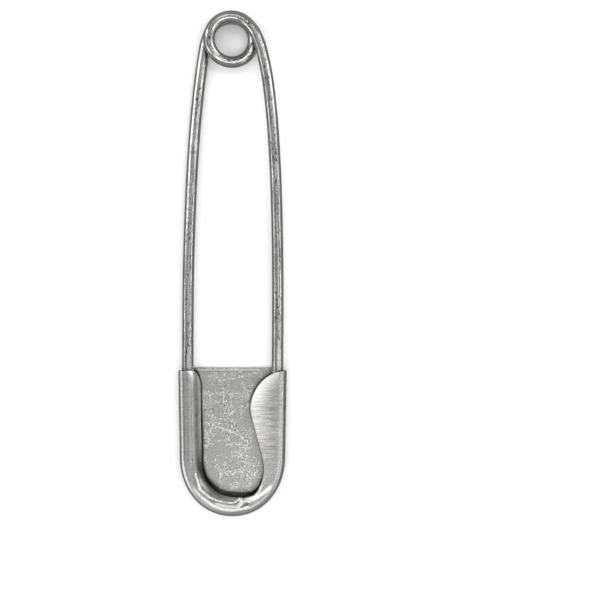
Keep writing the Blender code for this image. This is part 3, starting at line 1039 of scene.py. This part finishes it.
def pressed_sheet(lines, scuffs, line_group, occlusion_shade):
    """Nickelled sheet: a scuffed plate, a brushed guard, painted highlights and painted shade."""
    material, tree, shader = new_metal("pressed_cap_sheet")
    place = node(tree, "ShaderNodeTexCoord").outputs["Object"]
    millimetres = stretched(tree, place, (1 / MM,) * 3)
    parts = parted(tree, millimetres)
    # The painted shade and the painted highlight, read from the cap's vertices
    shade = node(tree, "ShaderNodeAttribute", attribute_name="shade").outputs["Fac"]
    shine = node(tree, "ShaderNodeAttribute", attribute_name="shine").outputs["Fac"]

    # how much of the lip and of the guard's brushing there is at a place
    lip = mapped(tree, parts[2], LIP_RISE, (0.0, 1.0))
    guard_start = mapped(tree, parts[0], GUARD_LEFT, (0.2, 1.0))
    guard_end = mapped(tree, parts[0], GUARD_RIGHT, (1.0, 0.3))
    guard_foot = mapped(tree, parts[1], GUARD_FOOT, (0.2, 1.0))
    guard = reckoned(tree, "MULTIPLY", guard_start, guard_end)
    guard = reckoned(tree, "MULTIPLY", guard, guard_foot)

    strokes = {"Place": millimetres, "Stretch": (0.24, 3.8, 0.16), "Contrast": 3.6}
    brushed = place_group(tree, lines, strokes)["Lines"]
    grain = {"Place": millimetres, "Stretch": (3.4, 3.0, 3.0), "Contrast": 4.5}
    grained = place_group(tree, lines, grain)["Lines"]

    across = stretched(tree, millimetres, (1.9, 0.75, 1.0))
    level = stretched(tree, millimetres, (0.75, 1.9, 1.0))
    upright = place_group(tree, scuffs, {"Place": across, "Size": 0.42, "Amount": 0.68})
    lying = place_group(tree, scuffs, {"Place": level, "Size": 0.42, "Amount": 0.66})
    marks = reckoned(tree, "MAXIMUM", upright["Scuffs"], lying["Scuffs"])

    def straight_line(start, run, width):
        """One straight line on the cap, for scratches and painted lines."""
        inputs = {"Place": millimetres, "Start": start, "Run": run, "Width": width}
        return place_group(tree, line_group, inputs)["Line_mask"]

    scratches_and_highlight = 0.0
    for row in SCRATCHES_AND_MOUTH_HIGHLIGHT:
        scratches_and_highlight = reckoned(tree, "ADD", scratches_and_highlight, straight_line(*row), clamp=True)
    marks_and_highlight = reckoned(tree, "MAXIMUM", marks, scratches_and_highlight)

    uneven = mapped(tree, upright["Crowding"], (0.0, 1.0), (0.35, 1.0))
    calm = node(tree, "ShaderNodeMix", {0: uneven, 2: 0.5, 3: grained}).outputs[0]
    plate = mixed(tree, calm, PLATE_DARK, PLATE_LIGHT)
    plain = mixed(tree, grained, LIP_DARK, LIP_LIGHT)
    folded = mixed(tree, guard, plain, mixed(tree, brushed, GUARD_DARK, GUARD_LIGHT))
    bare = mixed(tree, lip, plate, folded)

    # Scuffs, scratches and the painted highlights lighten the colour
    faint = mapped(tree, lip, (0.0, 1.0), MARK_STRENGTH)
    colour = mixed(tree, reckoned(tree, "MULTIPLY", marks_and_highlight, faint), bare, WEAR_AND_HIGHLIGHT_BRIGHT)
    highlight_share = reckoned(tree, "MULTIPLY", shine, HIGHLIGHT_STRENGTH, clamp=True)
    highlighted = mixed(tree, highlight_share, colour, WEAR_AND_HIGHLIGHT_BRIGHT)
    # The painted shade and the painted dark line at the mouth darken it towards black
    dark_line = straight_line(*MOUTH_DARK_LINE)
    lightness = reckoned(tree, "MULTIPLY_ADD", dark_line, -MOUTH_LINE_DEPTH, shade, clamp=True)
    shaded = mixed(tree, lightness, SHADE_BLACK, highlighted)

    # Painted shade from ambient occlusion in creases and under edges
    occluded = {"Metal": shaded, "Reach": 1.5 * MM, "Depth": 1.2}
    tree.links.new(place_group(tree, occlusion_shade, occluded)["Colour"], shader.inputs["Base Color"])
    relief = node(tree, "ShaderNodeMix", {0: lip, 2: marks, 3: brushed}).outputs[0]
    tree.links.new(mapped(tree, relief, (0.0, 1.0), SHEET_ROUGHNESS), shader.inputs["Roughness"])
    set_relief(tree, shader, relief, SHEET_RELIEF)
    return material


# Table, light and camera


def lay_table():
    """A plain pale table top, which shows to the eye and isn't mirrored in the metal."""
    data = bpy.data.meshes.new("table_top")
    corners = [(-TABLE_HALF, -TABLE_HALF, 0), (TABLE_HALF, -TABLE_HALF, 0)]
    corners += [(TABLE_HALF, TABLE_HALF, 0), (-TABLE_HALF, TABLE_HALF, 0)]
    data.from_pydata(corners, [], [(0, 1, 2, 3)])
    table = bpy.data.objects.new("table_top", data)
    table.location.z = -TABLE_DROP
    bpy.context.scene.collection.objects.link(table)
    material = bpy.data.materials.new("pale_table")
    material.use_nodes = True
    shader = material.node_tree.nodes["Principled BSDF"]
    shader.inputs["Base Color"].default_value = TABLE_GREY
    shader.inputs["Roughness"].default_value = 0.9
    shader.inputs["Specular IOR Level"].default_value = 0.0
    data.materials.append(material)
    table.visible_glossy = False


def hang_softbox(name, place, size, power):
    """A rectangular softbox that faces the pin."""
    light = bpy.data.lights.new(name, "AREA")
    light.shape = "RECTANGLE"
    light.size, light.size_y = size
    light.energy = power
    lamp = bpy.data.objects.new(name, light)
    lamp.location = place
    lamp.rotation_euler = (-Vector(place)).to_track_quat("-Z", "Y").to_euler()
    bpy.context.scene.collection.objects.link(lamp)


def light_room():
    """A pale room that the metal mirrors dimmer, with softboxes round and over the table."""
    world = bpy.data.worlds.new("pale_room")
    bpy.context.scene.world = world
    world.use_nodes = True
    tree = world.node_tree
    height = parted(tree, node(tree, "ShaderNodeTexCoord").outputs["Generated"])[2]
    ramp = node(tree, "ShaderNodeValToRGB", {0: mapped(tree, height, (-1.0, 1.0), (0.0, 1.0))})
    while len(ramp.color_ramp.elements) < len(ROOM_LEVELS):
        ramp.color_ramp.elements.new(0.5)
    for element, (place, level) in zip(ramp.color_ramp.elements, ROOM_LEVELS):
        element.position = place
        element.color = (level, level, level * 0.99, 1)
    mirrored = node(tree, "ShaderNodeLightPath").outputs["Is Glossy Ray"]
    shown = mixed(tree, mirrored, ROOM_GREY, ramp.outputs[0])
    tree.links.new(shown, tree.nodes["Background"].inputs["Color"])
    for name, (place, size, power) in SOFTBOXES.items():
        hang_softbox(name, place, size, power)


def aim_camera():
    """The camera straight above the photograph's middle."""
    data = bpy.data.cameras.new("camera")
    data.sensor_width = 36.0
    data.lens = data.sensor_width * CAMERA_DISTANCE / VIEW_WIDTH
    data.clip_start = 0.01
    camera = bpy.data.objects.new("camera", data)
    camera.location = (*VIEW_CENTRE, WIRE_LEVEL + CAMERA_DISTANCE)
    bpy.context.scene.collection.objects.link(camera)
    bpy.context.scene.camera = camera


aim_camera()
lay_table()
light_room()
bpy.context.scene.view_settings.view_transform = "Standard"

lines = brushing()
scuffs = flecking()
line_group = straight_line_group()
occlusion_shade = darkening()

wire = wind_wire("spring_wire", wire_line(), WIRE_SIDES)
wire.data.materials.append(drawn_wire(lines, scuffs, occlusion_shade))
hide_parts("fixed_arm", "spring_coil", "pin_arm")
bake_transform(wire)

cap = press_cap("folded_cap")
cap.data.materials.append(pressed_sheet(lines, scuffs, line_group, occlusion_shade))
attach(cap, "clasp_frame")
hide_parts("cap")
